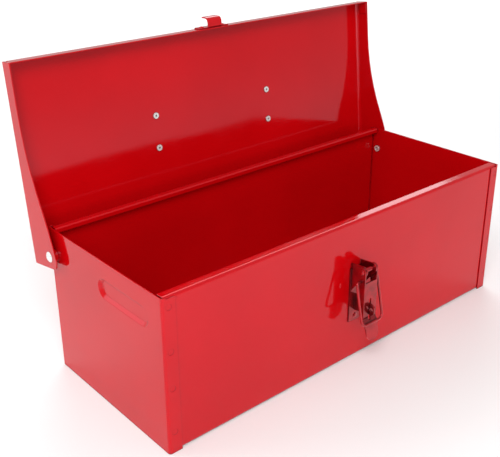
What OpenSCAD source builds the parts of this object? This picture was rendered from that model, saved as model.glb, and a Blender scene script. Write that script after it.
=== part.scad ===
// Sheet-steel tool box with a hinged lid, a bail handle and a draw latch.
// +X runs along the box, the latch faces -Y, +Z is up.
// The origin is the middle of the box's underside. The lid stands open.

/* [Box] */
// Length of the box along X
box_l = 406; // [320:2:600]
// Depth of the box along Y
box_d = 164; // [150:2:220]
// Height of the box up to its rim
box_h = 135.6; // [130:0.2:180]
// Thickness of the steel sheet
sheet = 1; // [0.8:0.1:1.2]
// Width of the flanges that lap from the end panels over the front and the back
lap = 12; // [10:0.5:16]
// Width of the turned-in rim along the front wall
front_rim = 9; // [6:0.5:12]
// Width of the turned-in rim along the rear wall
rear_rim = 7; // [5:0.5:10]
// Length of the rib pressed into the left end panel
rib_l = 69; // [40:1:100]
// Height of that rib
rib_h = 18; // [12:1:22]
// Depth of that rib
rib_depth = 2.4; // [1.5:0.1:3]

/* [Lid] */
// Angle from the lid lying level to the lid standing open
lid_open = 95.8; // [92:0.1:100]
// Gap between each end of the box and the lid's side
side_gap = 5; // [4:0.5:7]
// Depth of the lid's front flange
front_flange = 15; // [13:0.5:16]
// How far the lid's front flange stands in front of the box
front_overhang = 5.6; // [4.5:0.1:7]
// Depth of the lid's rear flange
rear_flange = 21.6; // [20:0.1:21.6]
// Height of the hinge axis above the box's underside
hinge_z = 112.3; // [108:0.1:114]
// Distance of the hinge axis from the middle of the box's depth
hinge_y = 73; // [70:0.5:76]
// Height of the lid's panel above the hinge axis
lid_rise = 31.1; // [30:0.1:33]

/* [Handle] */
// Distance from one handle bracket to the other
bracket_pitch = 137; // [120:1:150]
// Distance between the two rivets of one bracket
bracket_rivets = 30.7; // [28:0.1:34]
// Radius of the handle's wire
wire_r = 3; // [2.5:0.1:3.2]
// Reach of the handle from its axis to its grip
handle_reach = 34; // [30:1:36]
// Outer radius of the grip tube
grip_r = 6; // [5:0.5:6]

/* [Latch] */
// Height of the latch's axis above the box's underside
latch_z = 94.2; // [92:0.1:96]
// Distance of the latch's axis in front of the box
latch_out = 12.8; // [12.6:0.1:13.2]
// Width of the lever
lever_w = 16; // [14:1:18]
// Width of the wire loop between its two legs
loop_w = 26; // [25:1:30]
// Length of the wire loop between its axis and its cross bar
loop_l = 40; // [39.8:0.1:40.4]
// Radius of the loop's wire
loop_r = 1.1; // [1:0.05:1.1]

/* [Hidden] */

$fn = 48;
bend_steps = 6;
red = "crimson";
steel = "silver";

half_l = box_l / 2;
half_d = box_d / 2;
wall_y = half_d - sheet;

bend = 2;
base_bend = 2.5;
rim_bend = 1;
shell_half = half_l - sheet - 1.4;
lip_half = half_d - 6;
lip_h = 12;
rim_lip = 4;

rib_y = -half_d + 18.5 + rib_l / 2;
rib_z = 111;
rib_bevel = 3;
weld_r = 2.6;
weld_depth = 0.25;

lid_half = half_l + side_gap + sheet;
lid_bend = 4;
lid_front = -half_d - front_overhang;
lid_rear = hinge_y + 13;
lid_z = hinge_z + lid_rise + sheet;
tab_l = 12;
tab_h = 9;
hinge_r = 2.5;
hinge_fit = 0.06;
hinge_head_r = 4.8;
hinge_head_h = 1.9;
hinge_end_r = 3.4;
hinge_end_h = 1.3;
spacer_r = 5.6;
face_gap = 0.12;

loop_y = -half_d - 12.3;
loop_z = latch_z - 9.2;
latch_y = -half_d - latch_out;
latch_t = 1.2;
base_high = latch_z - 2;
ear_r = 4.6;
ears_high = latch_z + 3;
ears_low = latch_z - 24;
ear_out = lever_w / 2 - latch_t - 0.4;
lever_y = -half_d - 17;
knee_z = latch_z - 48.3;
pin_r = 2;
pin_fit = 0.06;

rivet_r = 1.6;
rivet_fit = 0.02;
bracket_t = 1.4;
hold = wire_r + 0.3;
axle_h = hold + 1.3;

catch_t = 1.2;
catch_w = 16;
catch_rivet_x = [-12, 12];
catch_rivet_z = lid_z - front_flange / 2 - 0.6;
handle_rivets_at = [for (s = [-1, 1], u = [-1, 1]) [s * bracket_pitch / 2, u * bracket_rivets / 2]];
base_low = latch_z - 54.7;
base_rivet_z = [base_high - 5, base_low + 4.5];
lap_drop = 1.4;
weld_z = [box_h * 0.14, box_h * 0.43, box_h * 0.665, box_h * 0.94];
eye_y = -half_d - 19.5;
eye_z = latch_z - 36.6;
eye_r = 1.8;
eye_rim = 1.2;
eye_fin_t = 1.6;
eye_root_h = 16;
eye_tip_h = 9;

// ---- Plane geometry ----

function unit(v) = v / norm(v);
function across(v) = [-v[1], v[0]];
function turned(v, a) = [v[0] * cos(a) - v[1] * sin(a), v[0] * sin(a) + v[1] * cos(a)];
function turn(a, b) = atan2(a[0] * b[1] - a[1] * b[0], a * b);
function pick(r, i) = is_list(r) ? r[i] : r;

// Points of the bend of radius r at corner q between p and n, moved sideways by off
function bend_points(p, q, n, r, off) =
    let (a = unit(q - p), phi = turn(a, unit(n - q)), s = sign(phi))
    let (mid = q - a * r * tan(abs(phi) / 2) + across(a) * s * r)
    [for (k = [0:bend_steps]) mid + turned(across(a) * (s * off - r) * s, phi * k / bend_steps)];

// One side of a bent strip whose middle line is pts
function strip_side(pts, r, off) =
    let (last = len(pts) - 1)
    concat(
        [pts[0] + across(unit(pts[1] - pts[0])) * off],
        [for (i = [1:1:last - 1]) each bend_points(pts[i - 1], pts[i], pts[i + 1], pick(r, i), off)],
        [pts[last] + across(unit(pts[last] - pts[last - 1])) * off]
    );

function reversed(v) = [for (i = [len(v) - 1:-1:0]) v[i]];

// Section of a sheet of thickness t, bent to radius r at each corner of pts
module strip(pts, r, t) {
    polygon(concat(strip_side(pts, r, t / 2), reversed(strip_side(pts, r, -t / 2))));
}

// Closed outline whose corners are rounded to the radii in r
module outline(pts, r) {
    n = len(pts);
    polygon([for (i = [0:n - 1]) each bend_points(pts[(i + n - 1) % n], pts[i], pts[(i + 1) % n], r[i], 0)]);
}

// Point where a line from e touches the circle of radius r round c
function tangent_point(c, r, e, s) =
    let (d = e - c)
    c + turned(unit(d), s * acos(r / norm(d))) * r;

// ---- Directions ----

// Draws a YZ section, from x = a to x = b
module along_x(a, b) {
    translate([a, 0, 0]) rotate([90, 0, 90]) linear_extrude(b - a) children();
}

// Draws an XZ section, from y = a to y = b
module along_y(a, b) {
    translate([0, b, 0]) rotate([90, 0, 0]) linear_extrude(b - a) children();
}

// Round rod along X, from x = a to x = b
module rod_x(a, b, y, z, r) {
    translate([a, y, z]) rotate([0, 90, 0]) cylinder(h = b - a, r = r);
}

// Places parts of the lid, drawn with the lid level, where the open lid has them
module on_lid() {
    translate([0, hinge_y, hinge_z]) rotate([-lid_open, 0, 0]) translate([0, -hinge_y, -hinge_z]) children();
}

// Round rod along a flat route in the XY plane, rounded to bend_r at its corners
module rod_run(pts, r, bend_r) {
    last = len(pts) - 1;
    function trim(i) = i == 0 || i == last ? 0
        : pick(bend_r, i) * tan(abs(turn(pts[i] - pts[i - 1], pts[i + 1] - pts[i])) / 2);
    for (i = [0:last - 1]) {
        d = unit(pts[i + 1] - pts[i]);
        a = pts[i] + d * trim(i);
        run = norm(pts[i + 1] - pts[i]) - trim(i) - trim(i + 1);
        translate([a[0], a[1], 0]) rotate([0, 0, atan2(d[1], d[0])]) rotate([0, 90, 0]) cylinder(h = run, r = r);
    }
    for (i = [1:1:last - 1]) {
        d = unit(pts[i] - pts[i - 1]);
        phi = turn(d, pts[i + 1] - pts[i]);
        s = sign(phi);
        mid = pts[i] - d * trim(i) + across(d) * s * pick(bend_r, i);
        start = -across(d) * s;
        translate([mid[0], mid[1], 0]) rotate([0, 0, atan2(start[1], start[0]) + (s < 0 ? phi : 0)])
            rotate_extrude(angle = abs(phi)) translate([pick(bend_r, i), 0]) circle(r);
    }
}

// Rivet along +X. Its domed head ends at x = 0, its shank is grip long, and its far end is rolled over.
module rivet(r, head_r, head_h, grip, end_r, end_h) {
    dome = (head_r * head_r + head_h * head_h) / (2 * head_h);
    rotate([0, 90, 0]) rotate_extrude() difference() {
        union() {
            intersection() {
                translate([0, dome - head_h]) circle(dome);
                translate([0, -head_h]) square([head_r, head_h]);
            }
            square([r, grip]);
            translate([0, grip]) square([end_r, end_h]);
        }
        translate([-1, grip + 0.3]) square([1 + r * 0.6, end_h]);
    }
}

// Turns what is drawn along +X so that it runs along +Y
module along_depth() {
    rotate([0, 0, 90]) children();
}

// ---- Box ----

module body_shell() {
    front = -wall_y + sheet / 2;
    rear = wall_y - sheet / 2;
    top = box_h - sheet / 2;
    front_in = -wall_y + front_rim;
    rear_in = wall_y - rear_rim;
    color(red) difference() {
        union() {
            difference() {
                along_x(-shell_half, shell_half) strip([
                    [front_in, top - rim_lip], [front_in, top], [front, top], [front, sheet / 2],
                    [rear, sheet / 2], [rear, top], [rear_in, top], [rear_in, top - rim_lip]
                ], [0, rim_bend, bend, base_bend, base_bend, bend, rim_bend, 0], sheet);
                for (s = [-1, 1])
                    translate([s * half_l, 0, 0]) cube([2 * lap / 3, 2 * lip_half, lip_h], center = true);
            }
            for (s = [0, 1]) mirror([s, 0, 0]) along_y(-lip_half, lip_half) strip([
                [half_l - lap, sheet / 2], [half_l - 1.5 * sheet, sheet / 2], [half_l - 1.5 * sheet, lip_h]
            ], base_bend, sheet);
        }
        for (z = base_rivet_z)
            translate([0, -half_d, z]) rotate([-90, 0, 0]) cylinder(h = 4 * sheet, r = rivet_r + rivet_fit);
    }
}

// Solid that a pressed rib takes up, grown by g on all its sides
module rib_solid(g) {
    r = rib_h / 2 + g;
    reach = (rib_l - rib_h) / 2;
    deep = rib_depth + g;
    translate([0, rib_y, rib_z]) {
        for (s = [-1, 1]) translate([0, s * reach, 0]) rotate([0, 90, 0])
            cylinder(h = deep, r1 = r, r2 = r - rib_bevel);
        along_y(-reach, reach) polygon([[0, -r], [0, r], [deep, r - rib_bevel], [deep, -r + rib_bevel]]);
    }
}

// End panel with its web on the -X side
module end_panel(ribbed) {
    web = -half_l + sheet / 2;
    side = half_d - sheet / 2;
    notch = box_h - lap_drop;
    difference() {
        union() {
            linear_extrude(box_h)
                strip([[-half_l + lap, -side], [web, -side], [web, side], [-half_l + lap, side]], bend, sheet);
            if (ribbed) translate([-half_l, 0, 0]) rib_solid(sheet);
        }
        if (ribbed) translate([-half_l, 0, 0]) rib_solid(0);
        for (s = [-1, 1]) {
            translate([-half_l + 2 * bend, s * half_d - sheet * 2, notch]) cube([lap, sheet * 4, 5]);
            for (z = weld_z) translate([-half_l + lap * 0.5, s * (half_d - weld_depth), z])
                rotate([-90 * s, 0, 0]) cylinder(h = sheet, r = weld_r);
        }
        rod_x(-half_l - 1, -half_l + 2, hinge_y, hinge_z, hinge_r + hinge_fit);
    }
}

module left_end_panel() { color(red) end_panel(true); }
module right_end_panel() { color(red) mirror([1, 0, 0]) end_panel(false); }

// ---- Hinge ----

module hinge_rivet() {
    color(steel) translate([-lid_half - face_gap, hinge_y, hinge_z])
        rivet(hinge_r, hinge_head_r, hinge_head_h, side_gap + 2 * (sheet + face_gap), hinge_end_r, hinge_end_h);
}

module hinge_spacer() {
    color(red) translate([-lid_half + sheet + face_gap, hinge_y, hinge_z]) rotate([0, 90, 0]) difference() {
        cylinder(h = side_gap - face_gap, r = spacer_r);
        translate([0, 0, -1]) cylinder(h = side_gap + 2, r = hinge_r + hinge_fit);
    }
}

module left_hinge_rivet() { hinge_rivet(); }
module right_hinge_rivet() { mirror([1, 0, 0]) hinge_rivet(); }
module left_hinge_spacer() { hinge_spacer(); }
module right_hinge_spacer() { mirror([1, 0, 0]) hinge_spacer(); }

// ---- Lid ----

// Outline of the lid seen from its end: a low front, a curved lower edge and a deep ear at the hinge
module lid_side_outline() {
    low = lid_z - front_flange - 1;
    outline([
        [lid_front, low], [lid_front, lid_z], [lid_rear, lid_z], [lid_rear - 3.5, hinge_z - 12.8],
        [hinge_y - 24, hinge_z - 5.6], [hinge_y - 81.6, low]
    ], [1, 2.5, 2.5, 7.5, 280, 230]);
}

module lid() {
    top = lid_z - sheet / 2;
    front = lid_front + sheet / 2;
    rear = lid_rear - sheet / 2;
    flat_half = lid_half - lid_bend - sheet / 2;
    tab_x = lid_half - 1.5 * sheet;
    color(red) on_lid() difference() {
        union() {
            along_x(-flat_half, flat_half) strip([
                [front, lid_z - front_flange], [front, top], [rear, top], [rear, lid_z - rear_flange]
            ], bend, sheet);
            for (s = [0, 1]) mirror([s, 0, 0]) {
                intersection() {
                    along_y(lid_front, lid_rear) strip([
                        [flat_half - 1, top], [lid_half - sheet / 2, top], [lid_half - sheet / 2, hinge_z - 30]
                    ], lid_bend, sheet);
                    along_x(0, lid_half + 1) lid_side_outline();
                }
                for (end = [[front, 1, lid_z - front_flange], [rear, -1, lid_z - rear_flange]])
                    translate([0, 0, end[2]]) linear_extrude(tab_h) strip([
                        [flat_half - 1, end[0]], [tab_x, end[0]], [tab_x, end[0] + end[1] * tab_l]
                    ], 1.2, sheet);
            }
        }
        rod_x(-lid_half - 1, lid_half + 1, hinge_y, hinge_z, hinge_r + hinge_fit);
        for (p = handle_rivets_at) translate([p[0], p[1], lid_z - 3 * sheet])
            cylinder(h = 6 * sheet, r = rivet_r + rivet_fit);
        for (x = catch_rivet_x) translate([x, lid_front - 1, catch_rivet_z]) rotate([-90, 0, 0])
            cylinder(h = 4 * sheet, r = rivet_r + rivet_fit);
    }
}

// ---- Catch on the lid's front ----

module catch_hook() {
    t = catch_t;
    mid = lid_front - t / 2;
    low = lid_z - front_flange + 1.8;
    color(red) on_lid() difference() {
        union() {
            along_x(-catch_w, catch_w) strip([[mid, low], [mid, lid_z - 2.5]], 1, t);
            along_x(-catch_w / 2, catch_w / 2) strip([
                [mid, lid_z - 3], [mid, low], [mid - 8.4, low], [mid - 9, low + 8.8]
            ], [0, 1.4, 4, 0], t);
        }
        for (x = catch_rivet_x) translate([x, lid_front - 3, catch_rivet_z]) rotate([-90, 0, 0])
            cylinder(h = 5, r = rivet_r + rivet_fit);
    }
}

module catch_rivets() {
    color(red) on_lid() for (x = catch_rivet_x) translate([x, lid_front - catch_t, catch_rivet_z])
        along_depth() rivet(rivet_r, 2.8, 1.1, catch_t + sheet, 2.4, 0.8);
}

// ---- Handle on the lid ----

module handle_bracket() {
    t = bracket_t;
    arch = hold + t / 2;
    reach = bracket_rivets / 2 + 6;
    color(red) on_lid() difference() {
        translate([-bracket_pitch / 2, 0, lid_z]) along_x(-7, 7) strip([
            [-reach, t / 2], [-arch, t / 2], [-arch, axle_h + arch], [arch, axle_h + arch], [arch, t / 2], [reach, t / 2]
        ], [0, 1.5, arch - 0.05, arch - 0.05, 1.5, 0], t);
        for (p = handle_rivets_at) translate([p[0], p[1], lid_z - 1]) cylinder(h = 4, r = rivet_r + rivet_fit);
    }
}

module bracket_rivet_pair() {
    color(steel) on_lid() for (s = [-1, 1]) translate([-bracket_pitch / 2, s * bracket_rivets / 2, lid_z + bracket_t])
        rotate([0, 90, 0]) rivet(rivet_r, 3.3, 1.5, bracket_t + sheet, 2.9, 1.1);
}

module left_handle_bracket() { handle_bracket(); }
module right_handle_bracket() { mirror([1, 0, 0]) handle_bracket(); }
module left_handle_rivets() { bracket_rivet_pair(); }
module right_handle_rivets() { mirror([1, 0, 0]) bracket_rivet_pair(); }

// Places the handle, drawn in the XY plane with +Y towards its grip, hanging from its axis
module hang_handle() {
    rise = lid_z + axle_h - hinge_z;
    translate([0, hinge_y - hinge_y * cos(lid_open) + rise * sin(lid_open),
               hinge_z + hinge_y * sin(lid_open) + rise * cos(lid_open)])
        rotate([-90, 0, 0]) children();
}

module handle_bail() {
    end_x = bracket_pitch / 2 + 10;
    knee_x = bracket_pitch / 2 - 14;
    low_x = knee_x - 8;
    color(red) hang_handle() {
        rod_run([
            [-end_x, 0], [-knee_x, 0], [-low_x, handle_reach], [low_x, handle_reach], [knee_x, 0], [end_x, 0]
        ], wire_r, 8);
        for (s = [-1, 1]) translate([s * end_x, 0, 0]) rotate([0, 90, 0])
            cylinder(h = 2, r = wire_r + 1.1, center = true);
    }
}

module handle_grip() {
    grip_l = bracket_pitch - 60;
    color(red) hang_handle() translate([0, handle_reach, 0]) rotate([0, 90, 0]) difference() {
        cylinder(h = grip_l, r = grip_r, center = true);
        cylinder(h = grip_l + 2, r = wire_r + rivet_fit, center = true);
    }
}

// ---- Latch on the front ----

// Section of one ear: a rounded end round the latch's axis, running back to the base plate
module ear_section() {
    c = [latch_y, latch_z];
    back = -wall_y - latch_t / 2;
    up = [back, ears_high];
    down = [back, ears_low];
    translate(c) circle(ear_r);
    polygon([up, tangent_point(c, ear_r, up, 1), c, tangent_point(c, ear_r, down, -1), down]);
}

module latch_base() {
    back = -wall_y - latch_t;
    tip = eye_y - eye_r - eye_rim;
    color(red) difference() {
        union() {
            translate([-lever_w / 2 + 0.5, back, base_low]) cube([lever_w - 1, latch_t, base_high - base_low]);
            for (s = [0, 1]) mirror([s, 0, 0]) along_x(ear_out - latch_t, ear_out) ear_section();
            along_x(-eye_fin_t / 2, eye_fin_t / 2) outline([
                [back, eye_z - eye_root_h / 2], [back, eye_z + eye_root_h / 2],
                [tip, eye_z + eye_tip_h / 2], [tip, eye_z - eye_tip_h / 2]
            ], [0.1, 0.1, 3, 3]);
        }
        rod_x(-20, 20, latch_y, latch_z, pin_r + pin_fit);
        rod_x(-2, 2, eye_y, eye_z, eye_r);
        for (z = base_rivet_z)
            translate([0, -half_d - 2, z]) rotate([-90, 0, 0]) cylinder(h = 4, r = rivet_r + rivet_fit);
    }
}

module latch_base_rivets() {
    color(red) for (z = base_rivet_z) translate([0, -wall_y - latch_t, z])
        along_depth() rivet(rivet_r, 2.8, 1, latch_t + sheet, 2.5, 0.9);
}

module latch_pin() {
    color(red) translate([-lever_w / 2 - face_gap, latch_y, latch_z])
        rivet(pin_r, 3.1, 1.1, lever_w + 2 * face_gap, 2.9, 0.9);
}

module latch_lever() {
    t = latch_t;
    face = lever_y + t / 2;
    web_top = latch_z - 10;
    slot_h = eye_root_h + 4.5;
    slot_w = eye_fin_t + 1.2;
    cheek_r = 4.4;
    tongue_r = lever_w / 2 - 0.6;
    color(red) difference() {
        union() {
            along_x(-lever_w / 2, lever_w / 2) strip([[face, web_top], [face, knee_z + 2]], 1, t);
            intersection() {
                along_x(-lever_w / 2, lever_w / 2) strip([
                    [face, knee_z + 8], [face, knee_z + 2.6], [face - 2.4, knee_z], [face - 6.4, knee_z - 16.6]
                ], [0, 2, 2, 0], t);
                translate([0, lever_y, knee_z - 9.4]) rotate([90, 0, 0]) linear_extrude(40, center = true) union() {
                    circle(tongue_r);
                    translate([-tongue_r, 0]) square([2 * tongue_r, 5.4]);
                    translate([-lever_w / 2, 5]) square([lever_w, 40]);
                }
            }
            for (s = [0, 1]) mirror([s, 0, 0]) along_x(lever_w / 2 - t, lever_w / 2) {
                translate([latch_y, latch_z]) circle(cheek_r);
                polygon([
                    [latch_y + 4.3, latch_z], [latch_y + 3.4, latch_z - 9.6], [face, knee_z + 4],
                    [lever_y, knee_z + 4], [lever_y, web_top], [latch_y - 4.38, latch_z]
                ]);
            }
        }
        rod_x(-20, 20, latch_y, latch_z, pin_r + pin_fit);
        rod_x(-20, 20, loop_y, loop_z, loop_r + 0.08);
        translate([-slot_w / 2, lever_y - 3, eye_z - slot_h / 2]) cube([slot_w, 6, slot_h]);
    }
}

module latch_loop() {
    lean = 12.4;
    leg_x = loop_w / 2;
    end_x = ear_out + 0.2;
    color(red) translate([0, loop_y, loop_z]) rotate([-90 - lean, 0, 0]) rod_run([
        [-end_x, 0], [-leg_x, 0], [-leg_x, loop_l], [leg_x, loop_l], [leg_x, 0], [end_x, 0]
    ], loop_r, [0, 2, 5, 5, 2, 0]);
}

// ---- Parts ----

body_shell();
left_end_panel();
right_end_panel();
left_hinge_rivet();
right_hinge_rivet();
left_hinge_spacer();
right_hinge_spacer();
lid();
catch_hook();
catch_rivets();
left_handle_bracket();
right_handle_bracket();
left_handle_rivets();
right_handle_rivets();
handle_bail();
handle_grip();
latch_base();
latch_base_rivets();
latch_pin();
latch_lever();
latch_loop();
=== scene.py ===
import math

import bpy
from mathutils import Matrix, Vector

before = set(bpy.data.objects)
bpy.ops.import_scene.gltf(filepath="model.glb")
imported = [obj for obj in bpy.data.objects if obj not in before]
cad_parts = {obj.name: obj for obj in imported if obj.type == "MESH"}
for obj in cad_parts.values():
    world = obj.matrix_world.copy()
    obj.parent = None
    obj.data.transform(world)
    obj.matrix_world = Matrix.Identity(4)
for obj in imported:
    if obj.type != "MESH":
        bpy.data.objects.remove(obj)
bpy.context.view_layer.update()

# ---- Camera, in metres and degrees ----
CAMERA_AT = Vector((-0.4807, -0.5014, 0.4217))
CAMERA_YAW = 40.26
CAMERA_PITCH = 23.80
CAMERA_ROLL = -0.51
CAMERA_LENS = 59.23
CAMERA_SHIFT = (0.0092, -0.0310)

# ---- Stage, in metres and watts ----
FLOOR_HALF = 6.0
FLOOR_DROP = 0.0002
SKY_STRENGTH = 0.55
BOX_MIDDLE = (0.0, 0.0, 0.1)
BACKDROP_MIDDLE = (1.4, 1.6, 0.0)
# Each softbox: its name, place, what it faces, size and power
SOFTBOXES = [
    ("key", (-0.8, -0.8, 1.1), BOX_MIDDLE, (0.7, 0.7), 14),
    ("low_front", (-0.4, -1.7, 0.3), BOX_MIDDLE, (1.0, 0.5), 4),
    ("back_left", (-1.3, 1.3, 1.0), BOX_MIDDLE, (1.4, 1.2), 10),
    ("backdrop", (1.7, 2.1, 1.5), BACKDROP_MIDDLE, (2.2, 2.2), 45),
]

# ---- Colours, linear ----
ENAMEL = (0.560, 0.0011, 0.0034)
ENAMEL_DEEP = (0.500, 0.0008, 0.0026)
ENAMEL_WORN = (0.300, 0.0040, 0.0060)
ENAMEL_SHADED = (0.130, 0.0010, 0.0030)
ENAMEL_GLINT = (1.0, 0.78, 0.95, 1.0)
LACQUER = (0.500, 0.0030, 0.0110)
LACQUER_DEEP = (0.270, 0.0015, 0.0050)
LACQUER_SHADED = (0.030, 0.0005, 0.0020)
ZINC = (0.93, 0.93, 0.91)
ZINC_DULL = (0.74, 0.74, 0.72)
ZINC_EDGE_HIGHLIGHT = (0.98, 0.98, 0.96)
ZINC_SHADED = (0.10, 0.09, 0.09)
FLOOR_PALE = (0.93, 0.93, 0.93)
FLOOR_SOFT = (0.90, 0.90, 0.90)
SKY = (1.0, 1.0, 1.0, 1.0)

# ---- Surface detail and painted shade: how far each feature reaches, in metres ----
SHEET_EDGE = 0.0006
SHEET_WAVE = 0.0008
SHEET_SEAM_SHADE = 0.0025
PEEL_DEPTH = 0.000022
LATCH_EDGE = 0.0004
LATCH_HOLLOW_SHADE = 0.010
LATCH_RIPPLE = 0.00025
LATCH_GRAIN = 0.000015
RIVET_EDGE = 0.0003
RIVET_HOLLOW_SHADE = 0.0016
RIVET_SCRATCH = 0.00002
FLOOR_GRAIN = 0.0001

# Scratches per metre on a rivet: along X they are drawn out, across it they are fine
SCRATCH_SCALE = (300, 2600, 2600)
# How closely the eased normal agrees with the true one, on the flat and on an edge
ON_FLAT, ON_EDGE = 0.98, 0.80
SIDE_SAMPLES = 6

# ---- Which pieces take which finish; every other piece is enamelled sheet ----
ZINC_NODES = ["left_hinge_rivet", "right_hinge_rivet", "left_handle_rivets", "right_handle_rivets"]
LACQUER_NODES = ["latch_base", "latch_base_rivets", "latch_pin", "latch_lever", "latch_loop"]
SMALL_ENAMEL_NODES = [
    "left_hinge_spacer", "right_hinge_spacer", "catch_hook", "catch_rivets", "left_handle_bracket",
    "right_handle_bracket", "handle_bail", "handle_grip",
]


# ---- Node helpers ----

class Shader:
    """A material's node tree with short calls for the nodes that the materials share."""

    def __init__(self, name):
        self.material = bpy.data.materials.new(name)
        self.material.use_nodes = True
        self.tree = self.material.node_tree
        self.tree.nodes.clear()
        self.place = self.node("ShaderNodeTexCoord").outputs["Object"]

    def node(self, kind, **settings):
        made = self.tree.nodes.new(kind)
        for key, value in settings.items():
            setattr(made, key, value)
        return made

    def link(self, source, target):
        """Join a socket to a socket, or set a plain value on it."""
        if isinstance(source, bpy.types.NodeSocket):
            self.tree.links.new(source, target)
        else:
            target.default_value = source

    def noise(self, scale, detail=2.0, roughness=0.5, place=None, distortion=0.0):
        made = self.node("ShaderNodeTexNoise")
        self.link(place or self.place, made.inputs["Vector"])
        made.inputs["Scale"].default_value = scale
        made.inputs["Detail"].default_value = detail
        made.inputs["Roughness"].default_value = roughness
        made.inputs["Distortion"].default_value = distortion
        return made.outputs["Fac"]

    def stretch(self, scale):
        made = self.node("ShaderNodeMapping")
        self.link(self.place, made.inputs["Vector"])
        made.inputs["Scale"].default_value = scale
        return made.outputs["Vector"]

    def remap(self, value, low, high, to_low=0.0, to_high=1.0):
        made = self.node("ShaderNodeMapRange", interpolation_type="SMOOTHSTEP")
        self.link(value, made.inputs["Value"])
        made.inputs["From Min"].default_value = low
        made.inputs["From Max"].default_value = high
        made.inputs["To Min"].default_value = to_low
        made.inputs["To Max"].default_value = to_high
        return made.outputs["Result"]

    def maths(self, operation, a, b):
        made = self.node("ShaderNodeMath", operation=operation)
        self.link(a, made.inputs[0])
        self.link(b, made.inputs[1])
        return made.outputs["Value"]

    def mix(self, share, a, b):
        """Colour a where share is 0 and colour b where it is 1."""
        made = self.node("ShaderNodeMix", data_type="RGBA")
        share_in, a_in, b_in = made.inputs[0], made.inputs[6], made.inputs[7]
        self.link(share, share_in)
        for value, socket in ((a, a_in), (b, b_in)):
            self.link(value if isinstance(value, bpy.types.NodeSocket) else (*value, 1.0), socket)
        return made.outputs[2]

    def edges(self, radius):
        """How near a point is to a sharp edge, from 0 on the flat to 1 on the edge, and the eased normal."""
        eased = self.node("ShaderNodeBevel", samples=SIDE_SAMPLES)
        eased.inputs["Radius"].default_value = radius
        dot = self.node("ShaderNodeVectorMath", operation="DOT_PRODUCT")
        self.link(eased.outputs["Normal"], dot.inputs[0])
        self.link(self.node("ShaderNodeNewGeometry").outputs["Normal"], dot.inputs[1])
        return self.remap(dot.outputs["Value"], ON_FLAT, ON_EDGE), eased.outputs["Normal"]

    def hollows(self, reach, low, high):
        """1 in the corners, seams and dimples that are narrower than reach, and 0 in the open; the mask where
        shade is painted.
        """
        made = self.node("ShaderNodeAmbientOcclusion", samples=SIDE_SAMPLES)
        made.inputs["Distance"].default_value = reach
        return self.remap(made.outputs["AO"], high, low)

    def bump(self, height, distance, normal=None):
        made = self.node("ShaderNodeBump")
        self.link(height, made.inputs["Height"])
        made.inputs["Distance"].default_value = distance
        made.inputs["Strength"].default_value = 1.0
        if normal is not None:
            self.link(normal, made.inputs["Normal"])
        return made.outputs["Normal"]

    def surface(self, colour, roughness, normal, **settings):
        """End the tree in a Principled shader. settings are its sockets' names, in lower case with _."""
        made = self.node("ShaderNodeBsdfPrincipled")
        self.link(colour, made.inputs["Base Color"])
        self.link(roughness, made.inputs["Roughness"])
        self.link(normal, made.inputs["Normal"])
        for name, value in settings.items():
            socket = name.replace("_", " ").title().replace("Ior", "IOR")
            made.inputs[socket].default_value = value
        self.link(made.outputs["BSDF"], self.node("ShaderNodeOutputMaterial").inputs["Surface"])
        return self.material


# ---- Materials ----

def enamel(name, wave):
    """Glossy sprayed enamel on sheet steel. wave is how far the sheet is out of flat, in metres."""
    s = Shader(name)
    edge, eased = s.edges(SHEET_EDGE)

    tone = s.remap(s.noise(scale=9, detail=3), low=0.30, high=0.72)
    colour = s.mix(tone, ENAMEL_DEEP, ENAMEL)

    patches = s.remap(s.noise(scale=420, detail=3, roughness=0.7), low=0.42, high=0.66)
    worn = s.maths("MULTIPLY", edge, patches)
    colour = s.mix(s.maths("MULTIPLY", worn, 0.6), colour, ENAMEL_WORN)

    dust = s.remap(s.noise(scale=1300, detail=1, roughness=0.4), low=0.76, high=0.81)
    colour = s.mix(s.maths("MULTIPLY", dust, 0.35), colour, ENAMEL_WORN)

    # Painted shade: seams, corners and dimples darkened towards ENAMEL_SHADED, in uneven patches.
    uneven = s.remap(s.noise(scale=180, detail=3, roughness=0.6), low=0.30, high=0.60, to_low=0.5, to_high=0.9)
    painted_seam_shade = s.maths("MULTIPLY", s.hollows(SHEET_SEAM_SHADE, low=0.45, high=0.93), uneven)
    colour = s.mix(painted_seam_shade, colour, ENAMEL_SHADED)

    haze = s.remap(s.noise(scale=26, detail=5, roughness=0.65), low=0.35, high=0.70, to_low=0.07, to_high=0.13)
    roughness = s.maths("ADD", haze, s.maths("MULTIPLY", worn, 0.12))

    peel = s.bump(s.noise(scale=330), PEEL_DEPTH, eased)
    normal = s.bump(s.noise(scale=6.5, detail=1, roughness=0.4, distortion=0.4), wave, peel)
    return s.surface(colour, roughness, normal, ior=1.44, specular_tint=ENAMEL_GLINT)


def lacquer(name):
    """Dark red lacquer over bright pressed steel."""
    s = Shader(name)
    edge, eased = s.edges(LATCH_EDGE)

    pool = s.remap(s.noise(scale=110, detail=3), low=0.30, high=0.70)
    colour = s.mix(pool, LACQUER_DEEP, LACQUER)

    patches = s.remap(s.noise(scale=500, detail=3, roughness=0.7), low=0.35, high=0.65, to_low=0.2, to_high=0.7)
    colour = s.mix(s.maths("MULTIPLY", edge, patches), colour, ENAMEL)
    # Painted shade: the latch's channel and hollows darkened almost to black with LACQUER_SHADED.
    colour = s.mix(s.hollows(LATCH_HOLLOW_SHADE, low=0.35, high=0.95), colour, LACQUER_SHADED)

    streaks = s.noise(scale=260, detail=3, roughness=0.6)
    roughness = s.remap(streaks, low=0.3, high=0.7, to_low=0.10, to_high=0.22)

    ripple = s.bump(s.noise(scale=60), LATCH_RIPPLE, eased)
    normal = s.bump(s.noise(scale=900), LATCH_GRAIN, ripple)
    return s.surface(colour, roughness, normal, metallic=0.7, coat_weight=0.6, coat_roughness=0.05)


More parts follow.
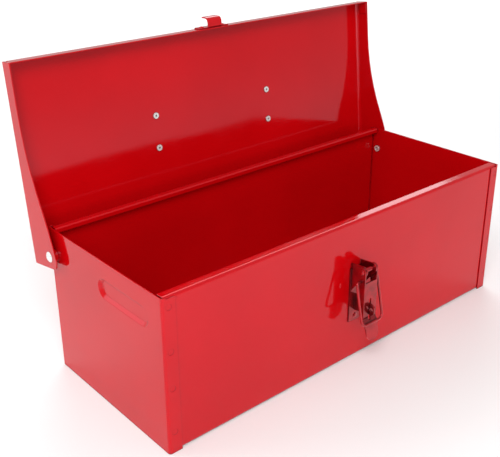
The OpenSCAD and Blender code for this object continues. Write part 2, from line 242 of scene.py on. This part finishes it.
def zinc(name):
    """Bright plated steel, brushed by the rivet setter."""
    s = Shader(name)
    edge, eased = s.edges(RIVET_EDGE)

    patch = s.remap(s.noise(scale=700, detail=4, roughness=0.7), low=0.35, high=0.65)
    colour = s.mix(patch, ZINC_DULL, ZINC)
    # Painted highlight: rivet edges lightened towards a brighter zinc.
    colour = s.mix(s.maths("MULTIPLY", edge, 0.4), colour, ZINC_EDGE_HIGHLIGHT)
    # Painted shade: rivet hollows and the rim against the sheet darkened towards ZINC_SHADED.
    colour = s.mix(s.hollows(RIVET_HOLLOW_SHADE, low=0.45, high=0.90), colour, ZINC_SHADED)

    scratch = s.noise(scale=1, detail=5, roughness=0.7, place=s.stretch(SCRATCH_SCALE))
    roughness = s.remap(scratch, low=0.3, high=0.7, to_low=0.18, to_high=0.38)
    return s.surface(colour, roughness, s.bump(scratch, RIVET_SCRATCH, eased), metallic=0.55)


def pale_floor():
    """Plain pale studio floor."""
    s = Shader("pale_floor")
    colour = s.mix(s.noise(scale=3), FLOOR_SOFT, FLOOR_PALE)
    return s.surface(colour, 0.9, s.bump(s.noise(scale=500), FLOOR_GRAIN), specular_ior_level=0.1)


# ---- Stage ----

def add(name, data):
    made = bpy.data.objects.new(name, data)
    bpy.context.scene.collection.objects.link(made)
    return made


def make_world():
    world = bpy.data.worlds.new("studio")
    world.use_nodes = True
    background = world.node_tree.nodes["Background"]
    background.inputs["Color"].default_value = SKY
    background.inputs["Strength"].default_value = SKY_STRENGTH
    bpy.context.scene.world = world


def make_floor():
    corners = [(x * FLOOR_HALF, y * FLOOR_HALF, 0) for x, y in ((-1, -1), (1, -1), (1, 1), (-1, 1))]
    mesh = bpy.data.meshes.new("floor")
    mesh.from_pydata(corners, [], [(0, 1, 2, 3)])
    mesh.materials.append(pale_floor())
    floor = add("floor", mesh)
    floor.location.z = -FLOOR_DROP


def make_softbox(name, place, target, size, power):
    light = bpy.data.lights.new(name, "AREA")
    light.shape = "RECTANGLE"
    light.size, light.size_y = size
    light.energy = power
    lamp = add(name, light)
    lamp.location = place
    lamp.rotation_euler = (Vector(target) - Vector(place)).to_track_quat("-Z", "Y").to_euler()


def make_camera():
    yaw, pitch, roll = (math.radians(a) for a in (CAMERA_YAW, CAMERA_PITCH, CAMERA_ROLL))
    ahead = Vector((math.sin(yaw) * math.cos(pitch), math.cos(yaw) * math.cos(pitch), -math.sin(pitch)))
    level = Vector((math.cos(yaw), -math.sin(yaw), 0))
    above = level.cross(ahead)
    right = level * math.cos(roll) + above * math.sin(roll)
    up = above * math.cos(roll) - level * math.sin(roll)
    data = bpy.data.cameras.new("camera")
    data.lens = CAMERA_LENS
    data.shift_x, data.shift_y = CAMERA_SHIFT
    camera = add("camera", data)
    camera.matrix_world = Matrix.Translation(CAMERA_AT) @ Matrix((right, up, -ahead)).transposed().to_4x4()
    bpy.context.scene.camera = camera


# ---- The scene ----

def finish_nodes():
    finishes = {
        **dict.fromkeys(ZINC_NODES, zinc("plated_steel")),
        **dict.fromkeys(LACQUER_NODES, lacquer("latch_lacquer")),
        **dict.fromkeys(SMALL_ENAMEL_NODES, enamel("small_part_enamel", 0.0)),
    }
    sheet = enamel("sheet_enamel", SHEET_WAVE)
    for name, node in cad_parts.items():
        node.data.materials.clear()
        node.data.materials.append(finishes.get(name, sheet))


make_world()
make_floor()
for softbox in SOFTBOXES:
    make_softbox(*softbox)
make_camera()
bpy.context.scene.view_settings.view_transform = "Standard"
finish_nodes()
